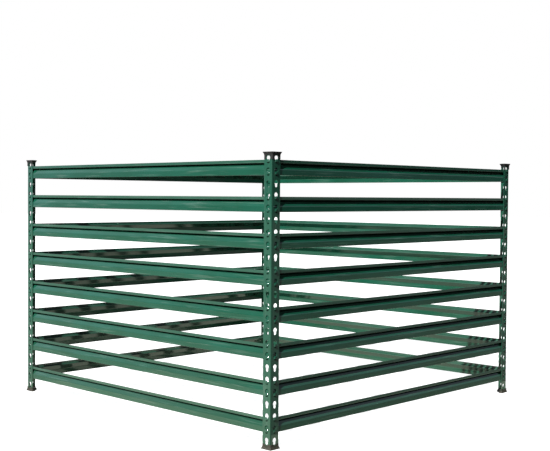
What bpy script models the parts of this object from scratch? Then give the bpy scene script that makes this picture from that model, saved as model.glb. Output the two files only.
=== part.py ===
"""Metal compost bin: four keyholed corner posts with riveted slat rails hooked between them.

Metres, +Z up. The origin is on the ground, under the middle of the bin.
"""

import math

import bmesh
import bpy
from mathutils import Matrix, Vector

# Layout
BIN_WIDTH = 1.2  # outside of one post to outside of the next, along X and along Y
RAILS_PER_SIDE = 8
KEYHOLE_PITCH = 0.03345
KEYHOLES_PER_RAIL = 3  # two hold the rail's rivets and one stays open

# Corner posts, folded from sheet to an angle
POST_LEG = 0.031
POST_SHEET = 0.0015
POST_BEND = 0.0016  # inner radius of the fold
POST_TOP_MARGIN = 0.007  # metal above the highest keyhole
POST_BOTTOM_MARGIN = 0.0094  # metal below the lowest keyhole

# Keyholes: a round mouth with a straight-sided seat below it
MOUTH_RADIUS = 0.0067
SEAT_RADIUS = 0.0045
KEYHOLE_DROP = 0.0087  # from the mouth's centre down to the centre of the seat's round end

# Rails, rolled from thinner sheet: flat band, ledge, nose, slope, flat band, return
RAIL_SHEET = 0.0012
RAIL_RIVET_EDGE = 0.0044  # from a rivet's centre to the rail's top or bottom edge
UPPER_BAND = 0.0089
LEDGE_DEPTH = 0.008
NOSE_HEIGHT = 0.0025
SLOPE_HEIGHT = 0.0143
RETURN_DEPTH = 0.004
RAIL_END_CLEARANCE = 0.0012  # between the two rails that meet inside a post

# Rivets
RIVET_SHANK_CLEARANCE = 0.0011  # round the shank in the keyhole's seat
RIVET_HEAD_CLEARANCE = 0.0009  # round the head as it passes through the mouth
RIVET_HEAD_HEIGHT = 0.0018
RIVET_HEAD_TAPER = 0.0012  # how much the head narrows towards its face
RIVET_SIDES = 8
SMOOTH_ANGLE = 360 / RIVET_SIDES + 1  # degrees; lets a rivet's side shade smooth

# Plastic end pieces: the same plan for the caps and the feet
END_PLATE = 0.0025  # thickness over the post's end
END_RIM = 0.0015  # height of the upright edge
END_OVERHANG = 0.0035  # how far the rim stands out from the post
END_FLARE = 0.009  # height over which the flare runs out to the thin wall
END_WALL = 0.0008
END_CORNER = 0.0015  # rounding of the plan's corners
CAP_LIP = 0.0097  # thin wall beyond a cap's flare
FOOT_LIP = 0.0037  # the same on a foot
NOTCH_CLEARANCE = 0.002  # round the keyhole that the lip is notched for
PLUG_CLEARANCE = 0.0016  # between a lifted rail and the cap's inner block

# Gap kept between pieces that touch
SEAT_GAP = 0.0003

BEND_STEPS = 3
FLARE_STEPS = 3
CORNER_STEPS = 2
NOTCH_STEPS = 6
MOUTH_STEPS = 6
SEAT_STEPS = 4
MERGE_DISTANCE = 0.00001

# Values that follow from the sizes above
KEYHOLES_PER_LEG = RAILS_PER_SIDE * KEYHOLES_PER_RAIL
SHANK_RADIUS = SEAT_RADIUS - RIVET_SHANK_CLEARANCE
HEAD_RADIUS = MOUTH_RADIUS - RIVET_HEAD_CLEARANCE
RIVET_DROP = SEAT_RADIUS - SHANK_RADIUS - SEAT_GAP  # from the seat's centre to a resting rivet's
RAIL_HEIGHT = KEYHOLE_PITCH + 2 * RAIL_RIVET_EDGE
RAIL_INSET = POST_SHEET + SEAT_GAP  # from the post's outer face to the rail's outer face
RAIL_TAB_END = RAIL_INSET + RETURN_DEPTH + RAIL_END_CLEARANCE
RAIL_FOLD_END = RAIL_INSET + LEDGE_DEPTH + RAIL_SHEET + RAIL_END_CLEARANCE
POST_BOTTOM = END_PLATE + SEAT_GAP
LOWEST_SEAT = POST_BOTTOM + POST_BOTTOM_MARGIN + SEAT_RADIUS
HIGHEST_SEAT = LOWEST_SEAT + (KEYHOLES_PER_LEG - 1) * KEYHOLE_PITCH
POST_TOP = HIGHEST_SEAT + KEYHOLE_DROP + MOUTH_RADIUS + POST_TOP_MARGIN
PLUG_DEPTH = POST_TOP_MARGIN + MOUTH_RADIUS - RAIL_RIVET_EDGE - PLUG_CLEARANCE

CORNERS = ("front_left", "front_right", "back_right", "back_left")
WALLS = ("front", "right", "back", "left")


def clear_scene():
    for item in list(bpy.data.objects):
        bpy.data.objects.remove(item, do_unlink=True)


def make_material(name, colour, roughness, metallic):
    material = bpy.data.materials.new(name)
    material.use_nodes = True
    shader = material.node_tree.nodes["Principled BSDF"]
    shader.inputs["Base Color"].default_value = (*colour, 1.0)
    shader.inputs["Roughness"].default_value = roughness
    shader.inputs["Metallic"].default_value = metallic
    material.diffuse_color = (*colour, 1.0)
    return material


def mesh_from(bm, name):
    bmesh.ops.recalc_face_normals(bm, faces=bm.faces)
    mesh = bpy.data.meshes.new(name)
    bm.to_mesh(mesh)
    bm.free()
    return mesh


def add_object(name, mesh, parent=None):
    item = bpy.data.objects.new(name, mesh)
    bpy.context.collection.objects.link(item)
    item.parent = parent
    return item


def add_cutter(name, mesh):
    cutter = add_object(name, mesh)
    cutter.hide_render = True
    cutter.display_type = "WIRE"
    return cutter


def combined(name, body_mesh, tool_mesh, operation):
    """Mesh of the body with the tool joined to it or cut from it."""
    body = add_object(name + "_body", body_mesh)
    tool = add_cutter(name + "_tool", tool_mesh)
    boolean = body.modifiers.new("Boolean", "BOOLEAN")
    boolean.operation = operation
    boolean.solver = "EXACT"
    boolean.object = tool
    graph = bpy.context.evaluated_depsgraph_get()
    mesh = bpy.data.meshes.new_from_object(body.evaluated_get(graph), depsgraph=graph)
    mesh.name = name
    bpy.data.objects.remove(body)
    bpy.data.objects.remove(tool)
    return mesh


def add_prism(bm, outline, low, high, place):
    """Extrude a closed outline of (a, b) points; place turns (a, b, height) into a position."""
    start = [bm.verts.new(place(a, b, low)) for a, b in outline]
    face = bm.faces.new(start)
    extruded = bmesh.ops.extrude_face_region(bm, geom=[face])["geom"]
    moved = [item for item in extruded if isinstance(item, bmesh.types.BMVert)]
    shift = place(0, 0, high) - place(0, 0, low)
    bmesh.ops.translate(bm, verts=moved, vec=shift)


def arc(centre, radius, start, end, steps):
    """Points on an arc, angles in degrees, both ends included."""
    points = []
    for index in range(steps + 1):
        angle = math.radians(start + (end - start) * index / steps)
        points.append((centre[0] + radius * math.cos(angle), centre[1] + radius * math.sin(angle)))
    return points


def offset_path(points, distance):
    """The open path moved sideways by distance, with mitred corners."""
    path = [Vector(point) for point in points]
    moved = []
    for index, point in enumerate(path):
        before = (point - path[index - 1]).normalized() if index else None
        after = (path[index + 1] - point).normalized() if index + 1 < len(path) else None
        before = before or after
        after = after or before
        normal_before = Vector((before.y, -before.x))
        normal_after = Vector((after.y, -after.x))
        middle = (normal_before + normal_after).normalized()
        moved.append(point + middle * (distance / middle.dot(normal_before)))
    return moved


def angle_outline(leg, sheet, inner_bend):
    """An angle section with its outer corner at the origin and its legs along +X and +Y."""
    outer_bend = inner_bend + sheet
    outer = arc((outer_bend, outer_bend), outer_bend, 180, 270, BEND_STEPS)
    inner = arc((outer_bend, outer_bend), inner_bend, 270, 180, BEND_STEPS)
    return [*outer, (leg, 0), (leg, sheet), *inner, (sheet, leg), (0, leg)]


def keyhole_outline(centre, seat_height):
    """A round mouth over a straight-sided seat with a round end, as (along the leg, height) points."""
    mouth_centre = (centre, seat_height + KEYHOLE_DROP)
    seat_centre = (centre, seat_height)
    # The seat's upright sides meet the mouth's circle this far below its middle
    corner = math.degrees(math.acos(SEAT_RADIUS / MOUTH_RADIUS))
    mouth = arc(mouth_centre, MOUTH_RADIUS, -corner, 180 + corner, MOUTH_STEPS)
    seat = arc(seat_centre, SEAT_RADIUS, 180, 360, SEAT_STEPS)
    return mouth + seat


def post_mesh():
    """An angle post with a row of keyholes down the middle of each leg."""
    bm = bmesh.new()
    outline = angle_outline(POST_LEG, POST_SHEET, POST_BEND)
    add_prism(bm, outline, POST_BOTTOM, POST_TOP, lambda a, b, h: Vector((a, b, h)))
    angle = mesh_from(bm, "angle")

    holes = bmesh.new()
    reach = 2 * POST_SHEET
    for index in range(KEYHOLES_PER_LEG):
        outline = keyhole_outline(POST_LEG / 2, LOWEST_SEAT + index * KEYHOLE_PITCH)
        add_prism(holes, outline, -reach, reach, lambda a, b, h: Vector((a, h, b)))
        add_prism(holes, outline, -reach, reach, lambda a, b, h: Vector((h, a, b)))
    return combined("corner_post", angle, mesh_from(holes, "keyholes"), "DIFFERENCE")


def rail_section():
    """The outer and inner skins of the rail's sheet, as (depth, height) points from the top down.

    Depth runs into the bin from the rail's outer face. Height 0 is at the lower rivets.
    """
    top = KEYHOLE_PITCH + RAIL_RIVET_EDGE
    ledge = top - UPPER_BAND
    nose_foot = ledge - NOSE_HEIGHT
    slope_foot = nose_foot - SLOPE_HEIGHT
    bottom = top - RAIL_HEIGHT
    outer = [
        (0, top),
        (0, ledge),
        (LEDGE_DEPTH, ledge),
        (LEDGE_DEPTH, nose_foot),
        (0, slope_foot),
        (0, bottom),
        (RETURN_DEPTH, bottom),
    ]
    return [Vector(point) for point in outer], offset_path(outer, -RAIL_SHEET)


def grow_faces(bm, faces, distance):
    """Extrude the faces along X by distance."""
    extruded = bmesh.ops.extrude_face_region(bm, geom=faces)["geom"]
    moved = [item for item in extruded if isinstance(item, bmesh.types.BMVert)]
    bmesh.ops.translate(bm, verts=moved, vec=(distance, 0, 0))
    return [item for item in extruded if isinstance(item, bmesh.types.BMFace)]


def rail_mesh():
    """A rolled rail with its folds cut back and two rivets at each end."""
    half_tab = BIN_WIDTH / 2 - RAIL_TAB_END
    half_fold = BIN_WIDTH / 2 - RAIL_FOLD_END
    outer, inner = rail_section()
    bm = bmesh.new()
    outer_verts = [bm.verts.new((-half_fold, depth, height)) for depth, height in outer]
    inner_verts = [bm.verts.new((-half_fold, depth, height)) for depth, height in inner]
    strips = []
    for index in range(len(outer) - 1):
        corners = (outer_verts[index], outer_verts[index + 1], inner_verts[index + 1], inner_verts[index])
        strips.append(bm.faces.new(corners))
    # The upper band, the lower band and its return run past the folds to the rail's ends
    tabs = [strips[0], strips[4], strips[5]]
    tab_centres = [face.calc_center_median() for face in tabs]
    far_faces = grow_faces(bm, strips, 2 * half_fold)
    far_tabs = []
    for face in far_faces:
        middle = face.calc_center_median()
        if any((middle - centre).yz.length < MERGE_DISTANCE for centre in tab_centres):
            far_tabs.append(face)
    near_tabs = []
    for face in bm.faces:
        middle = face.calc_center_median()
        if any((middle - centre).length < MERGE_DISTANCE for centre in tab_centres):
            near_tabs.append(face)
    for ends, distance in ((far_tabs, half_tab - half_fold), (near_tabs, half_fold - half_tab)):
        grow_faces(bm, ends, distance)
        bmesh.ops.delete(bm, geom=ends, context="FACES_ONLY")
    channel = mesh_from(bm, "channel")

    rivets = bmesh.new()
    along = BIN_WIDTH / 2 - POST_LEG / 2
    for x in (-along, along):
        for height in (0, KEYHOLE_PITCH):
            add_rivet(rivets, Vector((x, 0, height)))
    mesh = combined("slat_rail", channel, mesh_from(rivets, "rivets"), "UNION")
    for face in mesh.polygons:
        face.use_smooth = face.center.y < 0
    mesh.set_sharp_from_angle(angle=math.radians(SMOOTH_ANGLE))
    return mesh


def add_rivet(bm, centre):
    """A headed rivet that points out of the bin along -Y, rooted in the rail's sheet."""
    root = RAIL_SHEET / 2
    under_head = -(SEAT_GAP + POST_SHEET + SEAT_GAP)
    face = under_head - RIVET_HEAD_HEIGHT
    profile = [
        (0, root),
        (SHANK_RADIUS, root),
        (SHANK_RADIUS, under_head),
        (HEAD_RADIUS, under_head),
        (HEAD_RADIUS - RIVET_HEAD_TAPER, face),
        (0, face),
    ]
    verts = [bm.verts.new(centre + Vector((radius, depth, 0))) for radius, depth in profile]
    edges = [bm.edges.new(pair) for pair in zip(verts, verts[1:])]
    bmesh.ops.spin(
        bm,
        geom=verts + edges,
        cent=centre,
        axis=(0, 1, 0),
        dvec=(0, 0, 0),
        angle=2 * math.pi,
        steps=RIVET_SIDES,
        use_merge=True,
    )
    bmesh.ops.remove_doubles(bm, verts=bm.verts, dist=MERGE_DISTANCE)


def rounded_outline(points, radius):
    """The closed outline with its corners eased, each starting one radius from the corner."""
    eased = []
    for index, point in enumerate(points):
        corner = Vector(point)
        before = Vector(points[index - 1])
        after = Vector(points[(index + 1) % len(points)])
        start = corner + (before - corner).normalized() * radius
        end = corner + (after - corner).normalized() * radius
        for step in range(CORNER_STEPS + 1):
            share = step / CORNER_STEPS
            eased.append(start.lerp(corner, share).lerp(corner.lerp(end, share), share))
    return eased


def end_plan(overhang, reach):
    """Plan of an end piece round the post's angle, its back slanting across.

    It stands out from the post's two outer faces by overhang, and past its legs' ends by reach.
    """
    tip = POST_SHEET + SEAT_GAP + END_WALL + reach
    far = POST_LEG + reach
    corners = [(-overhang, -overhang), (far, -overhang), (far, tip), (tip, far), (-overhang, far)]
    return rounded_outline(corners, END_CORNER)


def end_block(lip):
    """The outer form of an end piece. Height 0 is the post's end, +Z is outwards."""
    thin = SEAT_GAP + END_WALL
    top = SEAT_GAP + END_PLATE
    rim_foot = top - END_RIM
    flare_foot = rim_foot - END_FLARE
    rings = [(thin, 0, flare_foot - lip)]
    for step in range(FLARE_STEPS + 1):
        share = step / FLARE_STEPS
        overhang = thin + (END_OVERHANG - thin) * share * share
        rings.append((overhang, END_OVERHANG * share * share, flare_foot + END_FLARE * share))
    rings.append((END_OVERHANG, END_OVERHANG, top))
    bm = bmesh.new()
    loops = []
    for overhang, reach, height in rings:
        loops.append([bm.verts.new((x, y, height)) for x, y in end_plan(overhang, reach)])
    bm.faces.new(loops[0])
    bm.faces.new(loops[-1])
    for lower, upper in zip(loops, loops[1:]):
        for index in range(len(lower)):
            after = (index + 1) % len(lower)
            bm.faces.new((lower[index], lower[after], upper[after], upper[index]))
    return mesh_from(bm, "end_block")


def end_mesh(name, lip, hole_depth, notch_radius):
    """A flared end piece with the post's end in a slot.

    Its lip is notched round the keyhole whose arc is centred hole_depth in from the post's end.
    """
    past_lip = -2 * (END_FLARE + lip)
    wide_leg = POST_LEG + 2 * SEAT_GAP
    wide_sheet = POST_SHEET + 2 * SEAT_GAP
    outline = angle_outline(wide_leg, wide_sheet, POST_BEND - SEAT_GAP)
    slot = bmesh.new()
    slot_outline = [(x - SEAT_GAP, y - SEAT_GAP) for x, y in outline]
    add_prism(slot, slot_outline, past_lip, SEAT_GAP, lambda a, b, h: Vector((a, b, h)))
    mesh = combined(name, end_block(lip), mesh_from(slot, "post_slot"), "DIFFERENCE")

    # Behind the post only a short block is left, clear of the rails when they are lifted
    inside = bmesh.new()
    near, far = POST_SHEET, 2 * POST_LEG
    square = [(near, near), (far, near), (far, far), (near, far)]
    add_prism(inside, square, past_lip, -PLUG_DEPTH, lambda a, b, h: Vector((a, b, h)))
    mesh = combined(name, mesh, mesh_from(inside, "inner_room"), "DIFFERENCE")

    notches = bmesh.new()
    middle = POST_LEG / 2
    outline = arc((middle, -hole_depth), notch_radius, 0, 180, NOTCH_STEPS)
    outline += [(middle - notch_radius, past_lip), (middle + notch_radius, past_lip)]
    outside, inner = -2 * END_OVERHANG, POST_SHEET / 2
    add_prism(notches, outline, outside, inner, lambda a, b, h: Vector((a, h, b)))
    add_prism(notches, outline, outside, inner, lambda a, b, h: Vector((h, a, b)))
    return combined(name, mesh, mesh_from(notches, "lip_notches"), "DIFFERENCE")


def corner_place(index):
    """Where a corner's post stands: the position of its outer edge and its turn about +Z."""
    turn = Matrix.Rotation(math.radians(90 * index), 4, "Z")
    return turn @ Vector((-BIN_WIDTH / 2, -BIN_WIDTH / 2, 0)), math.radians(90 * index)


def build_corners(parent):
    post_paint = make_material("post_paint", (0.045, 0.170, 0.118), 0.38, 0.0)
    cap_plastic = make_material("cap_plastic", (0.020, 0.019, 0.017), 0.6, 0.0)
    foot_plastic = make_material("foot_plastic", (0.033, 0.027, 0.020), 0.68, 0.0)

    post = post_mesh()
    post.materials.append(post_paint)
    highest_mouth = POST_TOP_MARGIN + MOUTH_RADIUS
    cap = end_mesh("end_cap", CAP_LIP, highest_mouth, MOUTH_RADIUS + NOTCH_CLEARANCE)
    cap.materials.append(cap_plastic)
    lowest_seat = POST_BOTTOM_MARGIN + SEAT_RADIUS
    foot = end_mesh("end_foot", FOOT_LIP, lowest_seat, SEAT_RADIUS + NOTCH_CLEARANCE)
    foot.transform(Matrix.Diagonal((1, 1, -1, 1)))
    foot.flip_normals()
    foot.materials.append(foot_plastic)

    for index, corner in enumerate(CORNERS):
        place, turn = corner_place(index)
        for kind, mesh, height in (("post", post, 0), ("cap", cap, POST_TOP), ("foot", foot, POST_BOTTOM)):
            piece = add_object(kind + "_" + corner, mesh, parent)
            piece.location = place + Vector((0, 0, height))
            piece.rotation_euler.z = turn


def build_rails(parent):
    """Each rail's origin is midway along it, on the vertical line that it lifts along."""
    rail_paint = make_material("rail_paint", (0.045, 0.170, 0.118), 0.34, 0.0)
    rail = rail_mesh()
    rail.materials.append(rail_paint)
    for index, wall in enumerate(WALLS):
        turn = Matrix.Rotation(math.radians(90 * index), 4, "Z")
        middle = turn @ Vector((0, RAIL_INSET - BIN_WIDTH / 2, 0))
        for row in range(RAILS_PER_SIDE):
            # Row 0 is the top rail; its lower rivets hang one keyhole below the highest seat
            seat = HIGHEST_SEAT - KEYHOLE_PITCH * (1 + row * KEYHOLES_PER_RAIL)
            piece = add_object("rail_" + wall + "_" + str(row + 1), rail, parent)
            piece.location = middle + Vector((0, 0, seat - RIVET_DROP))
            piece.rotation_euler.z = math.radians(90 * index)


def build():
    clear_scene()
    bin_root = bpy.data.objects.new("compost_bin", None)
    bpy.context.collection.objects.link(bin_root)
    build_corners(bin_root)
    build_rails(bin_root)


build()
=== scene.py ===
# Square, open-topped compost bin: keyholed corner posts and slat rails of dark green powder-coated steel
import math

import bmesh
import bpy
from mathutils import Matrix, Vector


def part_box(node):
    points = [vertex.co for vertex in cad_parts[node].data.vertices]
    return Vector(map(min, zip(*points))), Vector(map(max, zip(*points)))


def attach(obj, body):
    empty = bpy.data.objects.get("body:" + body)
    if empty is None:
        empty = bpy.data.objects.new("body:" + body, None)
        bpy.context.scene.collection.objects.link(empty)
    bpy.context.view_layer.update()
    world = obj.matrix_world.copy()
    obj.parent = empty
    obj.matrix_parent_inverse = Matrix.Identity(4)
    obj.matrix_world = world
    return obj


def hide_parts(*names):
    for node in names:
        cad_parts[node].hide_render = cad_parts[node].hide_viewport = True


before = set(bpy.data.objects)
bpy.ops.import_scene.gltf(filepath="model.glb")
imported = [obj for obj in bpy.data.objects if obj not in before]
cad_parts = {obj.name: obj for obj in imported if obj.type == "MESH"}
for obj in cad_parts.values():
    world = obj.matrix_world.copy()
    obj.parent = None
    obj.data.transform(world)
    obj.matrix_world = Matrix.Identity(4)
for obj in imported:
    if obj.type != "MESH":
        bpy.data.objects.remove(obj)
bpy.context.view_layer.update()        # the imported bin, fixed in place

scene = bpy.context.scene
mm = 0.001
gap = 0.3 * mm           # kept between pieces that touch
corners = ("front_left", "front_right", "back_right", "back_left")  # each a quarter turn on from the last
walls = ("front", "right", "back", "left")
railsPerWall = 8
weldDistance = 0.001 * mm
sharpAngle = 35          # degrees; a fold above this keeps a crisp edge in the shading

# Places read from the frame
postLow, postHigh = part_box("post_front_left")
railLow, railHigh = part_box("rail_front_1")
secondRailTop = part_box("rail_front_2")[1].z


# Helpers shared by the pieces

def linear(hexColour):
    # sRGB hex to the linear colour that the shaders want
    channels = [int(hexColour[i:i + 2], 16) / 255 for i in (1, 3, 5)]
    return (*[c / 12.92 if c <= 0.04045 else ((c + 0.055) / 1.055) ** 2.4 for c in channels], 1.0)


def addNode(tree, kind, inputs=None, **settings):
    # one node, its settings, then its inputs: a value, a socket to link, or a list of sockets
    node = tree.nodes.new(kind)
    for key, value in settings.items():
        setattr(node, key, value)
    for key, value in (inputs or {}).items():
        for one in value if isinstance(value, list) else [value]:
            if isinstance(one, bpy.types.NodeSocket):
                tree.links.new(one, node.inputs[key])
            else:
                node.inputs[key].default_value = one
    return node


def newTree(name, sockets):
    # a geometry tree with named inputs; returns it with its input node
    tree = bpy.data.node_groups.new(name, "GeometryNodeTree")
    tree.interface.new_socket("Geometry", in_out="OUTPUT", socket_type="NodeSocketGeometry")
    tree.interface.new_socket("Geometry", in_out="INPUT", socket_type="NodeSocketGeometry")
    for label, kind in sockets.items():
        tree.interface.new_socket(label, in_out="INPUT", socket_type="NodeSocket" + kind)
    return tree, tree.nodes.new("NodeGroupInput").outputs


def closeTree(tree, geometry, material):
    # every tree ends in real geometry with its material
    real = addNode(tree, "GeometryNodeRealizeInstances", {0: geometry})
    painted = addNode(tree, "GeometryNodeSetMaterial", {"Geometry": real.outputs[0], "Material": material})
    addNode(tree, "NodeGroupOutput", {0: painted.outputs[0]})


def treeStep(tree, **values):
    # a Geometry Nodes step for finished(); the values go by input label, underscores for blanks
    labelled = {key.replace("_", " "): value for key, value in values.items()}
    return ("NODES", {"tree": tree, "values": labelled})


def finished(name, mesh, steps):
    # runs modifiers over a mesh and hands back one plain mesh
    holder = bpy.data.objects.new(name, mesh)
    scene.collection.objects.link(holder)
    for kind, settings in steps:
        modifier = holder.modifiers.new(kind, kind)
        if kind == "NODES":
            modifier.node_group = settings["tree"]
            for socket in settings["tree"].interface.items_tree:
                if socket.in_out == "INPUT" and socket.name in settings["values"]:
                    modifier[socket.identifier] = settings["values"][socket.name]
            continue
        for key, value in settings.items():
            setattr(modifier, key, value)
    graph = bpy.context.evaluated_depsgraph_get()
    result = bpy.data.meshes.new_from_object(
        holder.evaluated_get(graph), preserve_all_data_layers=True, depsgraph=graph)
    bpy.data.objects.remove(holder)
    result.name = name
    return result


def meshFrom(bm, name):
    # welds, turns the faces outwards and makes a mesh of what was drawn
    bmesh.ops.remove_doubles(bm, verts=bm.verts, dist=weldDistance)
    bmesh.ops.recalc_face_normals(bm, faces=bm.faces)
    mesh = bpy.data.meshes.new(name)
    bm.to_mesh(mesh)
    bm.free()
    return mesh


def addPrism(bm, outline, low, high, place):
    # a closed outline of (a, b) points pushed from low to high; place turns (a, b, height) into a position
    rings = [[bm.verts.new(place(a, b, h)) for a, b in outline] for h in (low, high)]
    bm.faces.new(rings[0])
    bm.faces.new(rings[1])
    for i in range(len(outline)):
        j = (i + 1) % len(outline)
        bm.faces.new((rings[0][i], rings[0][j], rings[1][j], rings[1][i]))


def arc(centre, radius, start, end, steps):
    # points along a circle, from one angle in degrees to another
    turns = [math.radians(start + (end - start) * i / steps) for i in range(steps + 1)]
    return [(centre[0] + radius * math.cos(t), centre[1] + radius * math.sin(t)) for t in turns]


def rounding(width, angle):
    # a bevel step for finished(): a small round on every edge sharper than the angle
    return ("BEVEL", {
        "width": width, "segments": 2, "limit_method": "ANGLE", "angle_limit": math.radians(angle)})


def crispShading(mesh):
    # smooth over bends, sharp over folds, and big faces keep their own direction
    mesh.shade_smooth()
    mesh.set_sharp_from_angle(angle=math.radians(sharpAngle))
    return finished(mesh.name, mesh, [("WEIGHTED_NORMAL", {"keep_sharp": True, "weight": 100})])


def setPiece(name, mesh, matrix, body, node):
    # a copy of the mesh put in its place for good, riding on its body instead of the plain solid
    own = mesh.copy()
    own.name = name
    own.transform(matrix)
    piece = bpy.data.objects.new(name, own)
    scene.collection.objects.link(piece)
    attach(piece, body)
    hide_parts(node)


def storeValue(mesh, name, valueAt):
    # one number on every point, which the paint reads to follow the shape
    values = mesh.attributes.new(name, "FLOAT", "POINT")
    values.data.foreach_set("value", [valueAt(v.co, v.normal) for v in mesh.vertices])


# Camera, at the photograph's viewing angle

view = {
    "place": (2.521, -2.573, 0.689),
    "azimuth": 44.066,   # degrees from +Y towards -X
    "down": 1.611,
    "roll": 0.397,
    "lens": 66.79,
}


def addCamera():
    azimuth, down, roll = [math.radians(view[key]) for key in ("azimuth", "down", "roll")]
    level = Vector((-math.sin(azimuth), math.cos(azimuth), 0))
    forward = level * math.cos(down) - Vector((0, 0, math.sin(down)))
    right = Vector((math.cos(azimuth), math.sin(azimuth), 0))
    up = right.cross(forward)
    tiltedRight = right * math.cos(roll) + up * math.sin(roll)
    tiltedUp = up * math.cos(roll) - right * math.sin(roll)
    cameraData = bpy.data.cameras.new("camera")
    cameraData.lens = view["lens"]
    camera = bpy.data.objects.new("camera", cameraData)
    scene.collection.objects.link(camera)
    turn = Matrix((tiltedRight, tiltedUp, -forward)).transposed()
    camera.matrix_world = Matrix.Translation(view["place"]) @ turn.to_4x4()
    scene.camera = camera


addCamera()

# Studio: a key high in front and to the right, a weak fill behind, a dim dome with a few patches in it,
# and a pale floor. The glossy paint mirrors the patches and the floor's several tones.

studio = {
    # name, strength, degrees round from -Y towards +X, degrees up, softness, and whether gloss mirrors it
    "lamps": (
        ("key", 14.0, 11.0, 38.6, 0.8, True),
        ("fill", 6.0, 220.6, 10.0, 20.0, False),   # lifts the two walls that the key leaves in shade
    ),
    # colours from straight down (0) past the horizon (0.5) to straight up (1)
    "dome": (
        (0.0, "#2a2a24"), (0.49, "#2a2a24"), (0.5, "#8a909c"), (0.56, "#8a909c"),
        (0.66, "#54585c"), (0.85, "#54585c"), (1.0, "#8098c0"),
    ),
    # patches laid over the dome in this order: colour, share, direction, and the cosines of the angles at
    # which each has faded out and is full
    "patches": (
        ("#dce4ff", 1.3, (-0.97, -0.17, 0.22), 0.8, 1.0),       # a bright panel up on the left
        ("#1c2020", 0.85, (0.6, 0.8, 0.1), 0.5, 0.85),          # a dark flag behind on the right
        ("#b3bfd3", 1.0, (0.593, 0.759, 0.269), 0.963, 0.992),  # a small panel above the flag's foot
    ),
    "floorHalf": 30.0,
    "floorGlow": 0.95,       # the floor is a lit table to the camera, so shadows on it stay faint
    "floorPale": "#7a7a78",
    # what reflections and bounced light see of the floor
    "matPale": "#9fa896",    # the bin and the ground in front of it stand on something pale
    "matFar": "#7e7e78",     # dimmer further off in front
    "matAround": "#22221e",  # dark to the left and behind
    "matRight": "#585854",
    "matSide": 0.72,         # the pale mat's half width, and its ends along Y
    "matBack": 0.8,
    "matFront": -1.3,
    "matFarBack": -0.6,
}


def addLamps():
    for name, strength, azimuth, height, softness, mirrored in studio["lamps"]:
        lampData = bpy.data.lights.new(name, "SUN")
        lampData.energy = strength
        lampData.angle = math.radians(softness)
        lamp = bpy.data.objects.new(name, lampData)
        scene.collection.objects.link(lamp)
        lamp.visible_glossy = mirrored
        azimuth, height = math.radians(azimuth), math.radians(height)
        level = Vector((math.sin(azimuth), -math.cos(azimuth), 0))
        toLamp = level * math.cos(height) + Vector((0, 0, math.sin(height)))
        lamp.rotation_mode = "QUATERNION"
        lamp.rotation_quaternion = toLamp.to_track_quat("Z", "Y")


def addDome():
    world = bpy.data.worlds.new("studio")
    scene.world = world
    world.use_nodes = True
    tree = world.node_tree
    tree.nodes.clear()
    toward = addNode(tree, "ShaderNodeTexCoord").outputs["Generated"]
    height = addNode(tree, "ShaderNodeSeparateXYZ", {0: toward})
    share = addNode(tree, "ShaderNodeMapRange", {"Value": height.outputs["Z"], "From Min": -1.0})
    ramp = addNode(tree, "ShaderNodeValToRGB", {"Fac": share.outputs[0]})
    while len(ramp.color_ramp.elements) < len(studio["dome"]):
        ramp.color_ramp.elements.new(0.5)
    for element, (position, colour) in zip(ramp.color_ramp.elements, studio["dome"]):
        element.position = position
        element.color = linear(colour)
    light = ramp.outputs[0]
    for colour, strength, direction, edge, full in studio["patches"]:
        toPatch = addNode(tree, "ShaderNodeVectorMath", {
            0: toward, 1: Vector(direction).normalized()}, operation="DOT_PRODUCT")
        amount = addNode(tree, "ShaderNodeMapRange", {
            0: toPatch.outputs["Value"], 1: edge, 2: full, 4: strength}, interpolation_type="SMOOTHSTEP")
        mixed = addNode(tree, "ShaderNodeMix", {
            0: amount.outputs[0], 6: light, 7: linear(colour)}, data_type="RGBA", clamp_factor=False)
        light = mixed.outputs[2]
    dome = addNode(tree, "ShaderNodeBackground", {"Color": light, "Strength": 1.0})
    plain = addNode(tree, "ShaderNodeBackground", {"Color": (1, 1, 1, 1), "Strength": 1.0})
    path = addNode(tree, "ShaderNodeLightPath")
    seen = addNode(tree, "ShaderNodeMixShader", {
        0: path.outputs["Is Camera Ray"], 1: dome.outputs[0], 2: plain.outputs[0]})
    addNode(tree, "ShaderNodeOutputWorld", {"Surface": seen.outputs[0]})


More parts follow.
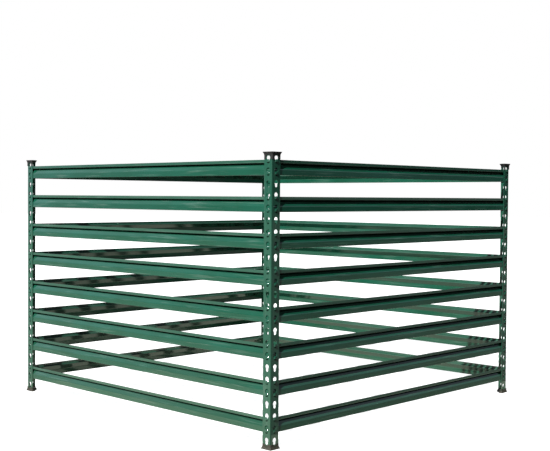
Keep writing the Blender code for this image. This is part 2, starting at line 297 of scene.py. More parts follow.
def floorMaterial():
    # one pale tone to the camera, several tones to reflections and bounced light
    material = bpy.data.materials.new("paleFloor")
    material.use_nodes = True
    tree = material.node_tree
    tree.nodes.clear()
    glow = addNode(tree, "ShaderNodeEmission", {"Color": (1, 1, 1, 1), "Strength": studio["floorGlow"]})
    pale = addNode(tree, "ShaderNodeBsdfDiffuse", {"Color": linear(studio["floorPale"])})
    table = addNode(tree, "ShaderNodeAddShader", {0: glow.outputs[0], 1: pale.outputs[0]})

    place = addNode(tree, "ShaderNodeTexCoord").outputs["Object"]
    spot = addNode(tree, "ShaderNodeSeparateXYZ", {0: place}).outputs
    sideways = addNode(tree, "ShaderNodeMath", {0: spot["X"]}, operation="ABSOLUTE")
    beneath = addNode(tree, "ShaderNodeMath", {
        0: sideways.outputs[0], 1: studio["matSide"]}, operation="LESS_THAN")
    matMiddle = (studio["matBack"] + studio["matFront"]) / 2
    matReach = (studio["matBack"] - studio["matFront"]) / 2
    near = addNode(tree, "ShaderNodeMath", {0: spot["Y"], 1: matMiddle, 2: matReach}, operation="COMPARE")
    onMat = addNode(tree, "ShaderNodeMath", {0: beneath.outputs[0], 1: near.outputs[0]}, operation="MULTIPLY")
    inFront = addNode(tree, "ShaderNodeMath", {0: spot["Y"], 1: studio["matFarBack"]}, operation="LESS_THAN")
    onRight = addNode(tree, "ShaderNodeMath", {0: spot["X"], 1: studio["matSide"]}, operation="GREATER_THAN")
    ground = linear(studio["matAround"])
    for share, colour in ((onRight, "matRight"), (inFront, "matFar"), (onMat, "matPale")):
        ground = addNode(tree, "ShaderNodeMix", {
            0: share.outputs[0], 6: ground, 7: linear(studio[colour])}, data_type="RGBA").outputs[2]
    bounce = addNode(tree, "ShaderNodeBsdfDiffuse", {"Color": ground})
    path = addNode(tree, "ShaderNodeLightPath")
    seen = addNode(tree, "ShaderNodeMixShader", {
        0: path.outputs["Is Camera Ray"], 1: bounce.outputs[0], 2: table.outputs[0]})
    addNode(tree, "ShaderNodeOutputMaterial", {"Surface": seen.outputs[0]})
    return material


def addFloor():
    half = studio["floorHalf"]
    floorMesh = bpy.data.meshes.new("floor")
    floorMesh.from_pydata(
        [(-half, -half, 0), (half, -half, 0), (half, half, 0), (-half, half, 0)], [], [(0, 1, 2, 3)])
    floorMesh.materials.append(floorMaterial())
    floor = bpy.data.objects.new("floor", floorMesh)
    scene.collection.objects.link(floor)


addLamps()
addDome()
addFloor()
scene.view_settings.view_transform = "Standard"
print("studio: camera, lamps, dome and floor")

# Powder-coated steel: polyester powder baked on degreased sheet. It gives a deep green, semi-gloss coat
# that mirrors sky and ground, with a faint orange peel. It is chalky where it has weathered and brownish
# where soil has splashed it. It also carries painted light: a painted highlight on the rails' noses, and
# painted shade, darker and without shine, in the grooves, on the rivets' lower rims, along the posts'
# folds and on the slopes' inner sides under the noses.

paint = {
    "green": "#0b382a",
    "deep": "#093223",
    "cloudSize": 130 * mm,      # the coat's slow change from deep to green
    "cloudFrom": 0.35,          # of the noise
    "cloudFull": 0.7,
    # chalk, and the colour of the painted highlight on the rails' noses
    "fadedAndHighlight": "#2b4138",
    "fadedShare": 0.3,          # where the chalk and highlight attribute is 1
    "streak": "#33493f",
    "streakLength": 110 * mm,
    "streakWidth": 5 * mm,
    "streakFrom": 0.56,         # of the noise, so that only its crests show as streaks
    "streakFull": 0.8,
    "pieceShift": 90.0,         # moves the streaks' noise on, so that every piece has its own
    "soilFilm": "#302e26",
    "soilPatch": 300 * mm,
    "soilReach": 350 * mm,      # height at which soil no longer splashes
    "soilShare": 0.45,          # at the ground
    "ledgeFrom": 0.55,          # of the upward direction
    "ledgeShare": 0.4,
    # painted shade: the colour of the grooves, the rivets' lower rims, the folds and the slopes under the
    # noses
    "recess": "#04150e",
    "paintedShadeFrom": 0.68,         # of the painted shade attribute, where the painted shade starts
    "paintedShadeFull": 0.86,
    "smoothest": 0.05,
    "roughest": 0.13,
    "shine": 0.5,
    "peelSize": 3 * mm,         # real orange peel is about 2 mm across; a little larger so that it shows
    "peelDepth": 0.08 * mm,
    "peelStrength": 0.1,
    "rippleSize": 70 * mm,      # slow waves that rolling leaves in thin sheet
    "rippleDepth": 0.6 * mm,
    "rippleStrength": 0.5,
}


def paintMaterial(name):
    # reads what each mesh stores on its points: chalk with a painted highlight, painted shade under the
    # noses, painted shade in recesses, and places along and across it
    material = bpy.data.materials.new(name)
    material.use_nodes = True
    tree = material.node_tree
    shader = tree.nodes["Principled BSDF"]
    place = addNode(tree, "ShaderNodeTexCoord").outputs["Object"]
    normal = addNode(tree, "ShaderNodeNewGeometry").outputs["Normal"]
    up = addNode(tree, "ShaderNodeSeparateXYZ", {0: normal}).outputs["Z"]
    height = addNode(tree, "ShaderNodeSeparateXYZ", {0: place}).outputs["Z"]
    chalk, sheltered, recess, along, across = [
        addNode(tree, "ShaderNodeAttribute", attribute_name=stored).outputs["Fac"]
        for stored in ("chalk", "sheltered", "recess", "along", "across")]

    cloud = addNode(tree, "ShaderNodeTexNoise", {
        "Vector": place, "Scale": 1 / paint["cloudSize"], "Detail": 5.0})
    shade = addNode(tree, "ShaderNodeMapRange", {
        0: cloud.outputs[0], 1: paint["cloudFrom"], 2: paint["cloudFull"]})
    base = addNode(tree, "ShaderNodeMix", {
        0: shade.outputs[0], 6: linear(paint["deep"]), 7: linear(paint["green"])}, data_type="RGBA")

    # chalk on the posts, a paler top band on the rails, and a painted highlight on the rails' noses
    chalkAndHighlightAmount = addNode(tree, "ShaderNodeMath", {0: chalk, 1: paint["fadedShare"]}, operation="MULTIPLY")
    chalkedAndHighlighted = addNode(tree, "ShaderNodeMix", {
        0: chalkAndHighlightAmount.outputs[0], 6: base.outputs[2], 7: linear(paint["fadedAndHighlight"])}, data_type="RGBA")

    # faint lighter streaks along each piece, different on every one
    lengthwise = addNode(tree, "ShaderNodeMath", {
        0: along, 1: 1 / paint["streakLength"]}, operation="MULTIPLY")
    widthwise = addNode(tree, "ShaderNodeMath", {
        0: across, 1: 1 / paint["streakWidth"]}, operation="MULTIPLY")
    random = addNode(tree, "ShaderNodeObjectInfo").outputs["Random"]
    piece = addNode(tree, "ShaderNodeMath", {0: random, 1: paint["pieceShift"]}, operation="MULTIPLY")
    drawn = addNode(tree, "ShaderNodeCombineXYZ", {
        0: lengthwise.outputs[0], 1: widthwise.outputs[0], 2: piece.outputs[0]})
    streakNoise = addNode(tree, "ShaderNodeTexNoise", {"Vector": drawn.outputs[0], "Scale": 1.0, "Detail": 3.0})
    streak = addNode(tree, "ShaderNodeMapRange", {
        0: streakNoise.outputs[0], 1: paint["streakFrom"], 2: paint["streakFull"]})
    streaked = addNode(tree, "ShaderNodeMix", {
        0: streak.outputs[0], 6: chalkedAndHighlighted.outputs[2], 7: linear(paint["streak"])}, data_type="RGBA")

    # painted shade on the slope's inner side, under a rail's nose: it darkens what the slope mirrors of the
    # ground
    shadedUnderNose = addNode(tree, "ShaderNodeMix", {
        0: sheltered, 6: streaked.outputs[2], 7: linear(paint["recess"])}, data_type="RGBA")

    # a thin film of soil that thickens towards the ground and on ledges
    low = addNode(tree, "ShaderNodeMapRange", {
        0: height, 1: paint["soilReach"], 2: 0.0, 4: paint["soilShare"]})
    ledge = addNode(tree, "ShaderNodeMapRange", {
        0: up, 1: paint["ledgeFrom"], 2: 1.0, 4: paint["ledgeShare"]})
    both = addNode(tree, "ShaderNodeMath", {0: low.outputs[0], 1: ledge.outputs[0]}, operation="MAXIMUM")
    patch = addNode(tree, "ShaderNodeTexNoise", {
        "Vector": place, "Scale": 1 / paint["soilPatch"], "Detail": 8.0})
    film = addNode(tree, "ShaderNodeMath", {0: both.outputs[0], 1: patch.outputs[0]}, operation="MULTIPLY")
    soiled = addNode(tree, "ShaderNodeMix", {
        0: film.outputs[0], 6: shadedUnderNose.outputs[2], 7: linear(paint["soilFilm"])}, data_type="RGBA")

    # painted shade: darker and without shine in the groove, on the rivets' lower rims and along the posts'
    # folds
    thin = addNode(tree, "ShaderNodeMapRange", {0: recess, 1: paint["paintedShadeFrom"], 2: paint["paintedShadeFull"]})
    shadedInRecess = addNode(tree, "ShaderNodeMix", {
        0: thin.outputs[0], 6: soiled.outputs[2], 7: linear(paint["recess"])}, data_type="RGBA")
    tree.links.new(shadedInRecess.outputs[2], shader.inputs["Base Color"])
    shine = addNode(tree, "ShaderNodeMapRange", {0: thin.outputs[0], 3: paint["shine"], 4: 0.0})
    tree.links.new(shine.outputs[0], shader.inputs["Specular IOR Level"])
    rough = addNode(tree, "ShaderNodeMapRange", {
        0: cloud.outputs[0], 3: paint["smoothest"], 4: paint["roughest"]})
    tree.links.new(rough.outputs[0], shader.inputs["Roughness"])

    peel = addNode(tree, "ShaderNodeTexNoise", {
        "Vector": place, "Scale": 1 / paint["peelSize"], "Detail": 2.0})
    ripple = addNode(tree, "ShaderNodeTexNoise", {
        "Vector": place, "Scale": 1 / paint["rippleSize"], "Detail": 1.0})
    fine = addNode(tree, "ShaderNodeBump", {
        "Strength": paint["peelStrength"], "Distance": paint["peelDepth"], "Height": peel.outputs[0]})
    coarse = addNode(tree, "ShaderNodeBump", {
        "Strength": paint["rippleStrength"], "Distance": paint["rippleDepth"], "Height": ripple.outputs[0],
        "Normal": fine.outputs[0]})
    tree.links.new(coarse.outputs[0], shader.inputs["Normal"])
    return material


postPaint = paintMaterial("powderCoatedPost")
railPaint = paintMaterial("powderCoatedRail")

# Moulded polypropylene: injection moulded with carbon black. It is near black and dull, greyed by dust
# on top and browned by soil at the feet, with a fine moulded grain.

plastic = {
    "capBlack": "#0f0e0e",
    "capDust": "#1e1d1c",
    "capDustMost": 0.9,
    "footBlack": "#12110e",
    "footSoil": "#302d24",
    "footSoilMost": 1.3,
    "dustLeast": 0.15,       # the share on faces that look down
    "dustFrom": -0.6,        # of the upward direction
    "dustFull": 0.8,
    "blotchSize": 9 * mm,
    "smoothest": 0.5,
    "roughest": 0.8,
    "shine": 0.25,
    "grainSize": 1.2 * mm,   # real grain is about 0.3 mm; coarser so that it shows
    "grainDepth": 0.1 * mm,
    "grainStrength": 0.4,
}


def plasticMaterial(name, black, dust, mostDust):
    material = bpy.data.materials.new(name)
    material.use_nodes = True
    tree = material.node_tree
    shader = tree.nodes["Principled BSDF"]
    shader.inputs["Specular IOR Level"].default_value = plastic["shine"]
    place = addNode(tree, "ShaderNodeTexCoord").outputs["Object"]
    normal = addNode(tree, "ShaderNodeNewGeometry").outputs["Normal"]
    up = addNode(tree, "ShaderNodeSeparateXYZ", {0: normal}).outputs["Z"]
    blotch = addNode(tree, "ShaderNodeTexNoise", {
        "Vector": place, "Scale": 1 / plastic["blotchSize"], "Detail": 4.0})
    facing = addNode(tree, "ShaderNodeMapRange", {
        0: up, 1: plastic["dustFrom"], 2: plastic["dustFull"], 3: plastic["dustLeast"], 4: mostDust})
    amount = addNode(tree, "ShaderNodeMath", {
        0: facing.outputs[0], 1: blotch.outputs[0]}, operation="MULTIPLY")
    colour = addNode(tree, "ShaderNodeMix", {
        0: amount.outputs[0], 6: linear(black), 7: linear(dust)}, data_type="RGBA")
    tree.links.new(colour.outputs[2], shader.inputs["Base Color"])
    rough = addNode(tree, "ShaderNodeMapRange", {
        0: blotch.outputs[0], 3: plastic["smoothest"], 4: plastic["roughest"]})
    tree.links.new(rough.outputs[0], shader.inputs["Roughness"])
    grain = addNode(tree, "ShaderNodeTexNoise", {
        "Vector": place, "Scale": 1 / plastic["grainSize"], "Detail": 2.0})
    bump = addNode(tree, "ShaderNodeBump", {
        "Strength": plastic["grainStrength"], "Distance": plastic["grainDepth"], "Height": grain.outputs[0]})
    tree.links.new(bump.outputs[0], shader.inputs["Normal"])
    return material


capPlastic = plasticMaterial(
    "mouldedCapPlastic", plastic["capBlack"], plastic["capDust"], plastic["capDustMost"])
footPlastic = plasticMaterial(
    "mouldedFootPlastic", plastic["footBlack"], plastic["footSoil"], plastic["footSoilMost"])
print("materials: powder coat and moulded plastic")

# Corner posts: sheet folded to an angle, with a column of keyholes punched through each leg

post = {
    "sheet": 1.5 * mm,
    "insideBend": 1.6 * mm,
    "bendSteps": 7,
    "mouthRadius": 6.7 * mm,
    "seatHalfWidth": 4.5 * mm,
    "drop": 8.7 * mm,           # from the mouth's centre down to the seat's
    "seatOverRivet": 0.8 * mm,  # a resting rivet's centre is this far under the seat's centre
    "mouthSteps": 16,
    "seatSteps": 10,
    "punchedEdge": 0.25 * mm,   # rounding that the paint gives a punched edge
    "edgeAngle": 40,            # degrees; edges sharper than this are rounded
    "keyholesPerRail": 3,
    "chalk": 0.5,
    "foldShade": 0.3,           # painted shade along the fold: how far past the paint's threshold for painted shade the fold's corner goes
}

# Rails: thin sheet rolled to a flat band, a ledge, a nose, a slope and a second flat band

rail = {
    "sheet": 1.2 * mm,
    "rivetEdge": 4.4 * mm,     # from a rivet's centre to the rail's top edge
    "upperBand": 8.9 * mm,
    "ledgeDepth": 8 * mm,
    "nose": 2.5 * mm,
    "slope": 14.3 * mm,
    "returnDepth": 4 * mm,
    "lean": 0.3 * mm,          # the flat bands lean towards the groove by this much
    "bend": 1.5 * mm,
    "footBend": 8 * mm,        # softer, where the slope runs out into the lower band
    "bendSteps": 4,
    "foldCutBack": 5.2 * mm,   # the folds stop this far short of the flat bands' ends
    "edgeRounding": 0.2 * mm,
    "edgeAngle": 50,           # degrees; edges sharper than this are rounded
    "noseHighlight": 3.2,          # painted highlight on the nose's inner side, which stands into the bin; it is paler than the rest
    "noseSkin": 0.85,          # how far through the nose's sheet that painted highlight begins
    "sheltered": 0.6,          # how much painted shade falls on the slope's inner side, under the nose
}

rivet = {
    "headRadius": 5.8 * mm,
    # a low dome: radius and fall, as shares of the head's
    "headShape": ((0.45, 0.01), (0.6, 0.06), (0.77, 0.376), (0.93, 0.857), (0.99, 0.96)),
    "shankRadius": 3.4 * mm,
    "buttonRadius": 3.2 * mm,  # where the rivet is clinched inside the rail
    "buttonHeight": 0.9 * mm,
    "buttonShape": ((1.0, 0.3), (0.5, 1.0)),  # radius and rise, as shares of the button's
    "sides": 18,
    "rimShade": 0.58,             # painted shade at the head's middle height
    "rimShadeFall": 0.5,          # less by this at the head's top, and more at its bottom
}

keyholePitch = (railHigh.z - secondRailTop) / post["keyholesPerRail"]
postMiddle = (postHigh.x - postLow.x) / 2
topRivet = railHigh.z - rivet["headRadius"]  # a rivet's head reaches a little above its rail
railTop = topRivet + rail["rivetEdge"]
keyholeCount = railsPerWall * post["keyholesPerRail"]
lowestSeat = topRivet + post["seatOverRivet"] - (keyholeCount - 1) * keyholePitch


def angleOutline(leg, sheet, insideBend, steps):
    outsideBend = insideBend + sheet
    centre = (outsideBend, outsideBend)
    outer = arc(centre, outsideBend, 180, 270, steps)
    inner = arc(centre, insideBend, 270, 180, steps)
    return [*outer, (leg, 0), (leg, sheet), *inner, (sheet, leg), (0, leg)]


def keyholeTree():
    # punches a column of keyholes through both legs of an angle post
    tree, given = newTree("punchKeyholes", {
        "Count": "Int", "Pitch": "Float", "Lowest": "Float", "Across": "Float", "Mouth": "Float",
        "Seat": "Float", "Drop": "Float", "Reach": "Float", "Material": "Material"})
    mouthPoints, seatPoints = post["mouthSteps"] + 1, post["seatSteps"] + 1
    ring = addNode(tree, "GeometryNodeMeshCircle", {"Vertices": mouthPoints + seatPoints})
    index = addNode(tree, "GeometryNodeInputIndex").outputs[0]
    # the seat's upright sides meet the mouth's circle this far below its middle
    ratio = addNode(tree, "ShaderNodeMath", {0: given["Seat"], 1: given["Mouth"]}, operation="DIVIDE")
    meet = addNode(tree, "ShaderNodeMath", {0: ratio.outputs[0]}, operation="ARCCOSINE")
    start = addNode(tree, "ShaderNodeMath", {0: 0.0, 1: meet.outputs[0]}, operation="SUBTRACT")
    end = addNode(tree, "ShaderNodeMath", {0: math.pi, 1: meet.outputs[0]}, operation="ADD")
    mouthTurn = addNode(tree, "ShaderNodeMapRange", {
        0: index, 1: 0.0, 2: mouthPoints - 1.0, 3: end.outputs[0], 4: start.outputs[0]})
    seatTurn = addNode(tree, "ShaderNodeMapRange", {
        0: index, 1: float(mouthPoints), 2: mouthPoints + seatPoints - 1.0, 3: 2 * math.pi, 4: math.pi})
    inMouth = addNode(tree, "ShaderNodeMath", {
        0: index, 1: mouthPoints - 0.5}, operation="LESS_THAN").outputs[0]
    turn = addNode(tree, "ShaderNodeMix", {0: inMouth, 2: seatTurn.outputs[0], 3: mouthTurn.outputs[0]})
    radius = addNode(tree, "ShaderNodeMix", {0: inMouth, 2: given["Seat"], 3: given["Mouth"]})
    centre = addNode(tree, "ShaderNodeMath", {0: inMouth, 1: given["Drop"]}, operation="MULTIPLY")
    cosine = addNode(tree, "ShaderNodeMath", {0: turn.outputs[0]}, operation="COSINE")
    sine = addNode(tree, "ShaderNodeMath", {0: turn.outputs[0]}, operation="SINE")
    across = addNode(tree, "ShaderNodeMath", {
        0: cosine.outputs[0], 1: radius.outputs[0]}, operation="MULTIPLY")
    rise = addNode(tree, "ShaderNodeMath", {
        0: sine.outputs[0], 1: radius.outputs[0], 2: centre.outputs[0]}, operation="MULTIPLY_ADD")
    fall = addNode(tree, "ShaderNodeMath", {0: rise.outputs[0], 1: -1.0}, operation="MULTIPLY")
    spot = addNode(tree, "ShaderNodeCombineXYZ", {0: across.outputs[0], 1: fall.outputs[0]})
    shaped = addNode(tree, "GeometryNodeSetPosition", {
        "Geometry": ring.outputs[0], "Position": spot.outputs[0]})
    outline = addNode(tree, "GeometryNodeMeshToCurve", {0: shaped.outputs[0]})
    # the punch runs along Y, so the outline's second axis points down
    back = addNode(tree, "ShaderNodeMath", {0: given["Reach"], 1: -1.0}, operation="MULTIPLY")
    stroke = addNode(tree, "GeometryNodeCurvePrimitiveLine", {
        "Start": addNode(tree, "ShaderNodeCombineXYZ", {1: back.outputs[0]}).outputs[0],
        "End": addNode(tree, "ShaderNodeCombineXYZ", {1: given["Reach"]}).outputs[0]})
    punch = addNode(tree, "GeometryNodeCurveToMesh", {
        "Curve": stroke.outputs[0], "Profile Curve": outline.outputs[0], "Fill Caps": True})
    step = addNode(tree, "ShaderNodeCombineXYZ", {2: given["Pitch"]})
    columns = []
    for axis, quarter in ((0, 0.0), (1, math.pi / 2)):
        first = addNode(tree, "ShaderNodeCombineXYZ", {axis: given["Across"], 2: given["Lowest"]})
        points = addNode(tree, "GeometryNodeMeshLine", {
            "Count": given["Count"], "Start Location": first.outputs[0], "Offset": step.outputs[0]})
        column = addNode(tree, "GeometryNodeInstanceOnPoints", {
            "Points": points.outputs[0], "Instance": punch.outputs[0], "Rotation": (0.0, 0.0, quarter)})
        columns.append(column.outputs[0])
    joined = addNode(tree, "GeometryNodeJoinGeometry", {0: columns})
    punches = addNode(tree, "GeometryNodeRealizeInstances", {0: joined.outputs[0]})
    cut = addNode(tree, "GeometryNodeMeshBoolean", {
        0: given["Geometry"], 1: punches.outputs[0]}, operation="DIFFERENCE", solver="EXACT")
    closeTree(tree, cut.outputs[0], given["Material"])
    return tree


def postMesh():
    bm = bmesh.new()
    outline = angleOutline(postHigh.x - postLow.x, post["sheet"], post["insideBend"], post["bendSteps"])
    addPrism(bm, outline, postLow.z, postHigh.z, lambda a, b, h: Vector((a, b, h)))
    mesh = finished("angle_post", meshFrom(bm, "angle"), [
        treeStep(keyholeTree(), Count=keyholeCount, Pitch=keyholePitch, Lowest=lowestSeat, Across=postMiddle,
                 Mouth=post["mouthRadius"], Seat=post["seatHalfWidth"], Drop=post["drop"],
                 Reach=2 * post["sheet"], Material=postPaint),
        rounding(post["punchedEdge"], post["edgeAngle"]),
    ])
    # an even bloom of chalk, and painted shade along the fold
    fold = post["insideBend"] + post["sheet"]
    storeValue(mesh, "chalk", lambda co, normal: post["chalk"])
    storeValue(mesh, "recess", lambda co, normal: (
        paint["paintedShadeFrom"] + post["foldShade"] * (1 - (co.x + co.y) / fold)))
    storeValue(mesh, "along", lambda co, normal: co.z)
    storeValue(mesh, "across", lambda co, normal: co.x - co.y)
    return crispShading(mesh)


def cornerPlace(index):
    # quarter turns about the bin's middle, out at the post's outer edge
    turn = Matrix.Rotation(math.radians(90 * index), 4, "Z")
    return turn @ Matrix.Translation((postLow.x, postLow.y, 0))


def buildPosts():
    mesh = postMesh()
    for index, corner in enumerate(corners):
        setPiece("angle_post_" + corner, mesh, cornerPlace(index),
                 "corner_frame", "post_" + corner)
    print("posts:", len(corners), "with", 2 * keyholeCount, "keyholes each,", len(mesh.polygons), "faces")


def rollTree():
    # a section line becomes sheet with soft bends; only its flat bands run on past the folds
    tree, given = newTree("rollRail", {
        "Bend": "Float", "Foot Bend": "Float", "Foot Index": "Int", "Folded Length": "Float", "Tab": "Float",
        "Upper Foot": "Float", "Lower Top": "Float", "Material": "Material"})
    line = addNode(tree, "GeometryNodeMeshToCurve", {0: given["Geometry"]})
    index = addNode(tree, "GeometryNodeInputIndex").outputs[0]
    atFoot = addNode(tree, "ShaderNodeMath", {0: index, 1: given["Foot Index"], 2: 0.5}, operation="COMPARE")
    radius = addNode(tree, "ShaderNodeMix", {0: atFoot.outputs[0], 2: given["Bend"], 3: given["Foot Bend"]})
    soft = addNode(tree, "GeometryNodeFilletCurve", {
        "Curve": line.outputs[0], "Count": rail["bendSteps"], "Radius": radius.outputs[0]}, mode="POLY")
    section = addNode(tree, "GeometryNodeCurveToMesh", {"Curve": soft.outputs[0]})
    farEnd = addNode(tree, "ShaderNodeMath", {0: given["Folded Length"], 1: -0.5}, operation="MULTIPLY")
    start = addNode(tree, "GeometryNodeTransform", {
        "Geometry": section.outputs[0],
        "Translation": addNode(tree, "ShaderNodeCombineXYZ", {0: farEnd.outputs[0]}).outputs[0]})
    length = addNode(tree, "ShaderNodeCombineXYZ", {0: given["Folded Length"]})
    sheet = addNode(tree, "GeometryNodeExtrudeMesh", {
        "Mesh": start.outputs[0], "Offset": length.outputs[0], "Offset Scale": 1.0}, mode="EDGES")
    spot = addNode(tree, "ShaderNodeSeparateXYZ", {0: addNode(tree, "GeometryNodeInputPosition").outputs[0]})
    side = addNode(tree, "ShaderNodeMath", {0: spot.outputs["X"]}, operation="SIGN")
    away = addNode(tree, "ShaderNodeMath", {0: spot.outputs["X"]}, operation="ABSOLUTE")
    quarter = addNode(tree, "ShaderNodeMath", {0: given["Folded Length"], 1: 0.25}, operation="MULTIPLY")
    atEnd = addNode(tree, "ShaderNodeMath", {
        0: away.outputs[0], 1: quarter.outputs[0]}, operation="GREATER_THAN")
    upper = addNode(tree, "ShaderNodeMath", {
        0: spot.outputs["Z"], 1: given["Upper Foot"]}, operation="GREATER_THAN")
    lower = addNode(tree, "ShaderNodeMath", {
        0: spot.outputs["Z"], 1: given["Lower Top"]}, operation="LESS_THAN")
    band = addNode(tree, "ShaderNodeMath", {0: upper.outputs[0], 1: lower.outputs[0]}, operation="MAXIMUM")
    chosen = addNode(tree, "ShaderNodeMath", {0: band.outputs[0], 1: atEnd.outputs[0]}, operation="MULTIPLY")
    push = addNode(tree, "ShaderNodeMath", {0: side.outputs[0], 1: given["Tab"]}, operation="MULTIPLY")
    tabs = addNode(tree, "GeometryNodeExtrudeMesh", {
        "Mesh": sheet.outputs["Mesh"], "Selection": chosen.outputs[0], "Offset Scale": 1.0,
        "Offset": addNode(tree, "ShaderNodeCombineXYZ", {0: push.outputs[0]}).outputs[0]}, mode="EDGES")
    closeTree(tree, tabs.outputs["Mesh"], given["Material"])
    return tree


def rivetMesh(headFace):
    # a low-domed head outside the post, a shank through the keyhole and a clinched button, along Y
    underHead = -(gap + post["sheet"] + gap)
    head, shank, inside = rivet["headRadius"], rivet["shankRadius"], rail["sheet"]
    dome = [(share * head, headFace + fall * (underHead - headFace)) for share, fall in rivet["headShape"]]
    button = [(share * rivet["buttonRadius"], inside + rise * rivet["buttonHeight"])
              for share, rise in rivet["buttonShape"]]
    profile = [(0, headFace), *dome, (head, underHead), (shank, underHead), (shank, inside), *button,
               (0, inside + rivet["buttonHeight"])]
    bm = bmesh.new()
    verts = [bm.verts.new((radius, depth, 0)) for radius, depth in profile]
    edges = [bm.edges.new(pair) for pair in zip(verts, verts[1:])]
    bmesh.ops.spin(
        bm, geom=verts + edges, cent=(0, 0, 0), axis=(0, 1, 0), angle=2 * math.pi, steps=rivet["sides"])
    return meshFrom(bm, "headed_rivet")


def rivetTree():
    # two rivets near each end of a rail, joined to its sheet
    tree, given = newTree("setRivets", {
        "Rivet": "Object", "Along": "Float", "Pitch": "Float", "First": "Float", "Material": "Material"})
    double = addNode(tree, "ShaderNodeMath", {0: given["Along"], 1: 2.0}, operation="MULTIPLY")
    points = addNode(tree, "GeometryNodeMeshGrid", {
        "Size X": double.outputs[0], "Size Y": given["Pitch"], "Vertices X": 2, "Vertices Y": 2})
    middle = addNode(tree, "ShaderNodeMath", {
        0: given["Pitch"], 1: -0.5, 2: given["First"]}, operation="MULTIPLY_ADD")
    upright = addNode(tree, "GeometryNodeTransform", {
        "Geometry": points.outputs[0], "Rotation": (math.pi / 2, 0.0, 0.0),
        "Translation": addNode(tree, "ShaderNodeCombineXYZ", {2: middle.outputs[0]}).outputs[0]})
    one = addNode(tree, "GeometryNodeObjectInfo", {"Object": given["Rivet"]})
    rivets = addNode(tree, "GeometryNodeInstanceOnPoints", {
        "Points": upright.outputs[0], "Instance": one.outputs["Geometry"]})
    real = addNode(tree, "GeometryNodeRealizeInstances", {0: rivets.outputs[0]})
    joined = addNode(tree, "GeometryNodeMeshBoolean", {
        1: [given["Geometry"], real.outputs[0]]}, operation="UNION", solver="EXACT")
    closeTree(tree, joined.outputs[0], given["Material"])
    return tree


def railMesh():
    face = railHigh.y - rail["ledgeDepth"] - rail["sheet"]  # the rail's outer face
    ledge = -rail["upperBand"]
    noseFoot = ledge - rail["nose"]
    slopeFoot = noseFoot - rail["slope"]
    bottom = -(keyholePitch + 2 * rail["rivetEdge"])
    deep = rail["ledgeDepth"]
    lean = rail["lean"]
    foot = (lean, slopeFoot)
    section = [(0, 0), (lean, ledge), (deep, ledge), (deep, noseFoot), foot, (0, bottom),
               (rail["returnDepth"], bottom)]
    line = bpy.data.meshes.new("section")
    line.from_pydata([(0, y, z) for y, z in section], [(i, i + 1) for i in range(len(section) - 1)], [])
    # the soft bend runs on for about a quarter of its radius below the slope's foot
    sheet = finished("rolled_sheet", line, [
        treeStep(rollTree(), Bend=rail["bend"], Foot_Bend=rail["footBend"], Foot_Index=section.index(foot),
                 Folded_Length=2 * (railHigh.x - rail["foldCutBack"]), Tab=rail["foldCutBack"],
                 Upper_Foot=ledge + rail["bend"], Lower_Top=slopeFoot - rail["footBend"] / 4,
                 Material=railPaint),
        ("SOLIDIFY", {"thickness": rail["sheet"], "offset": 1.0, "use_even_offset": True}),
        rounding(rail["edgeRounding"], rail["edgeAngle"]),
    ])
    holder = bpy.data.objects.new("headed_rivet", rivetMesh(railLow.y - face))
    scene.collection.objects.link(holder)
    mesh = finished("slat_rail", sheet, [
        treeStep(rivetTree(), Rivet=holder, Along=-(postLow.x + postMiddle), Pitch=keyholePitch,
                 First=-rail["rivetEdge"], Material=railPaint),
    ])
    bpy.data.objects.remove(holder)

    def chalk(co, normal):
        # paler on the top band, and a painted highlight on the nose's inner side
        if co.y > deep + rail["noseSkin"] * rail["sheet"]:
            return rail["noseHighlight"]
        return min(1.0, max(0.0, (co.z - ledge) / rail["bend"]))

    def sheltered(co, normal):
        # painted shade on the slope's inner side, which looks down
        onSlope = slopeFoot < co.z < noseFoot and normal.y > 0.5 and normal.z < -0.2
        return rail["sheltered"] if onSlope else 0.0

    def recess(co, normal):
        # painted shade on the lower rim of each rivet's head, and painted shade that deepens towards the
        # groove's bottom
        # painted shade on each rivet head's lower rim, darker towards its bottom
        if co.y < -post["sheet"]:
            fromTop = co.z + rail["rivetEdge"]
            fromRivet = fromTop if fromTop > -keyholePitch / 2 else fromTop + keyholePitch
            return rivet["rimShade"] - rivet["rimShadeFall"] * fromRivet / rivet["headRadius"]
        inGroove = slopeFoot < co.z < ledge and normal.y < 0.2 and normal.z < 0.8
        return co.y / deep if inGroove else 0.0

    storeValue(mesh, "chalk", chalk)
    storeValue(mesh, "sheltered", sheltered)
    storeValue(mesh, "recess", recess)
    storeValue(mesh, "along", lambda co, normal: co.x)
    storeValue(mesh, "across", lambda co, normal: co.z)
    mesh = crispShading(mesh)
    mesh.transform(Matrix.Translation((0, face, railTop)))
    return mesh


def buildRails():
    mesh = railMesh()
    spacing = keyholePitch * post["keyholesPerRail"]
    for index, wall in enumerate(walls):
        turn = Matrix.Rotation(math.radians(90 * index), 4, "Z")
        for row in range(railsPerWall):
            node = "rail_" + wall + "_" + str(row + 1)
            place = Matrix.Translation((0, 0, -row * spacing)) @ turn
            setPiece("slat_" + node, mesh, place, node, node)
    print("rails:", len(walls) * railsPerWall, "of", len(mesh.polygons), "faces each")


# End pieces: one flared moulding for the caps, a shorter one for the feet

ends = {
    "plate": 2.5 * mm,
    "rim": 1.5 * mm,
    "overhang": 3.5 * mm,
    "flare": 9 * mm,
    "wall": 0.8 * mm,
    "corner": 1.5 * mm,
    "notchClearance": 2 * mm,
    "plugDepth": 7.7 * mm,
    "edge": 0.3 * mm,
    "edgeAngle": 40,         # degrees; edges sharper than this are rounded
    "flareSteps": 9,
    "cornerSteps": 4,
    "notchSteps": 20,
}


def easedOutline(points, radius):
    # the same outline with every corner drawn round
    eased = []
    for i, point in enumerate(points):
        corner, before, after = Vector(point), Vector(points[i - 1]), Vector(points[(i + 1) % len(points)])
        start = corner + (before - corner).normalized() * radius
        end = corner + (after - corner).normalized() * radius
        for step in range(ends["cornerSteps"] + 1):
            share = step / ends["cornerSteps"]
            eased.append(start.lerp(corner, share).lerp(corner.lerp(end, share), share))
    return eased


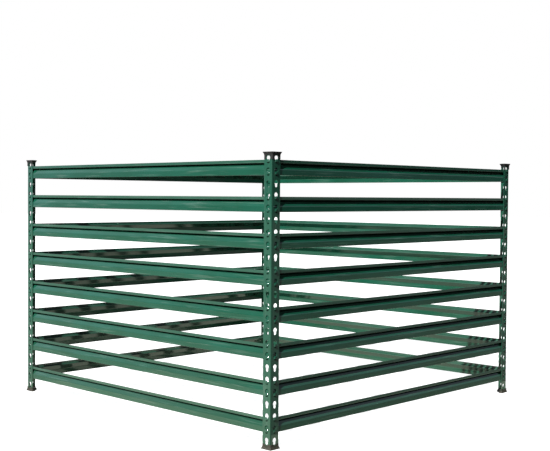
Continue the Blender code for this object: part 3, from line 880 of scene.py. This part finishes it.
def endForm(legLength, lip):
    # the moulding's outside, its back slanting across behind the post; 0 is the post's end, +Z outwards
    thin = gap + ends["wall"]
    top = gap + ends["plate"]
    flareFoot = top - ends["rim"] - ends["flare"]
    rings = [(thin, 0, flareFoot - lip)]
    for step in range(ends["flareSteps"] + 1):
        share = step / ends["flareSteps"]
        swell = share * share
        rings.append((thin + (ends["overhang"] - thin) * swell, ends["overhang"] * swell,
                      flareFoot + ends["flare"] * share))
    rings.append((ends["overhang"], ends["overhang"], top))
    bm = bmesh.new()
    loops = []
    for out, reach, height in rings:
        tip, far = post["sheet"] + gap + ends["wall"] + reach, legLength + reach
        plan = [(-out, -out), (far, -out), (far, tip), (tip, far), (-out, far)]
        loops.append([bm.verts.new((x, y, height)) for x, y in easedOutline(plan, ends["corner"])])
    bm.faces.new(loops[0])
    bm.faces.new(loops[-1])
    for lower, upper in zip(loops, loops[1:]):
        for i in range(len(lower)):
            j = (i + 1) % len(lower)
            bm.faces.new((lower[i], lower[j], upper[j], upper[i]))
    return meshFrom(bm, "end_form")


def endMesh(name, lip, holeDepth, notchRadius, material):
    # the form, less a slot for the post, the room inside its corner, and a notch round a keyhole in each leg
    legLength = postHigh.x - postLow.x
    pastLip = -2 * (ends["flare"] + lip)
    slotOutline = angleOutline(legLength + 2 * gap, post["sheet"] + 2 * gap, post["insideBend"] - gap,
                               post["bendSteps"])
    slot, room, notch = bmesh.new(), bmesh.new(), bmesh.new()
    slotOutline = [(x - gap, y - gap) for x, y in slotOutline]
    addPrism(slot, slotOutline, pastLip, gap, lambda a, b, h: Vector((a, b, h)))
    near, far = post["sheet"], 2 * legLength
    square = [(near, near), (far, near), (far, far), (near, far)]
    addPrism(room, square, pastLip, -ends["plugDepth"], lambda a, b, h: Vector((a, b, h)))
    outline = arc((postMiddle, -holeDepth), notchRadius, 0, 180, ends["notchSteps"])
    outline += [(postMiddle - notchRadius, pastLip), (postMiddle + notchRadius, pastLip)]
    outside, inner = -2 * ends["overhang"], post["sheet"] / 2
    addPrism(notch, outline, outside, inner, lambda a, b, h: Vector((a, h, b)))
    addPrism(notch, outline, outside, inner, lambda a, b, h: Vector((h, a, b)))
    cutters = []
    for label, bm in (("slot", slot), ("room", room), ("notches", notch)):
        cutter = bpy.data.objects.new(label, meshFrom(bm, label))
        scene.collection.objects.link(cutter)
        cutters.append(cutter)
    mesh = endForm(legLength, lip)
    mesh.materials.append(material)
    steps = [("BOOLEAN", {"object": cutter, "operation": "DIFFERENCE", "solver": "EXACT"})
             for cutter in cutters]
    mesh = finished(name, mesh, [*steps, rounding(ends["edge"], ends["edgeAngle"])])
    for cutter in cutters:
        bpy.data.objects.remove(cutter)
    return crispShading(mesh)


def buildEnds():
    deepestMouth = postHigh.z - (topRivet + post["seatOverRivet"] + post["drop"])
    legTop = gap + ends["plate"] - ends["rim"] - ends["flare"]
    capLip = legTop - (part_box("cap_front_left")[0].z - postHigh.z)
    footLip = legTop + (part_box("foot_front_left")[1].z - postLow.z)
    cap = endMesh("flared_cap", capLip, deepestMouth,
                  post["mouthRadius"] + ends["notchClearance"], capPlastic)
    foot = endMesh("flared_foot", footLip, lowestSeat - postLow.z,
                   post["seatHalfWidth"] + ends["notchClearance"], footPlastic)
    foot.transform(Matrix.Diagonal((1, 1, -1, 1)))
    foot.flip_normals()
    for index, corner in enumerate(corners):
        place = cornerPlace(index)
        setPiece("flared_cap_" + corner, cap, place @ Matrix.Translation((0, 0, postHigh.z)),
                 "corner_frame", "cap_" + corner)
        setPiece("flared_foot_" + corner, foot, place @ Matrix.Translation((0, 0, postLow.z)),
                 "corner_frame", "foot_" + corner)
    print("end pieces: caps and feet,", len(cap.polygons), "and", len(foot.polygons), "faces each")


buildPosts()
buildRails()
buildEnds()
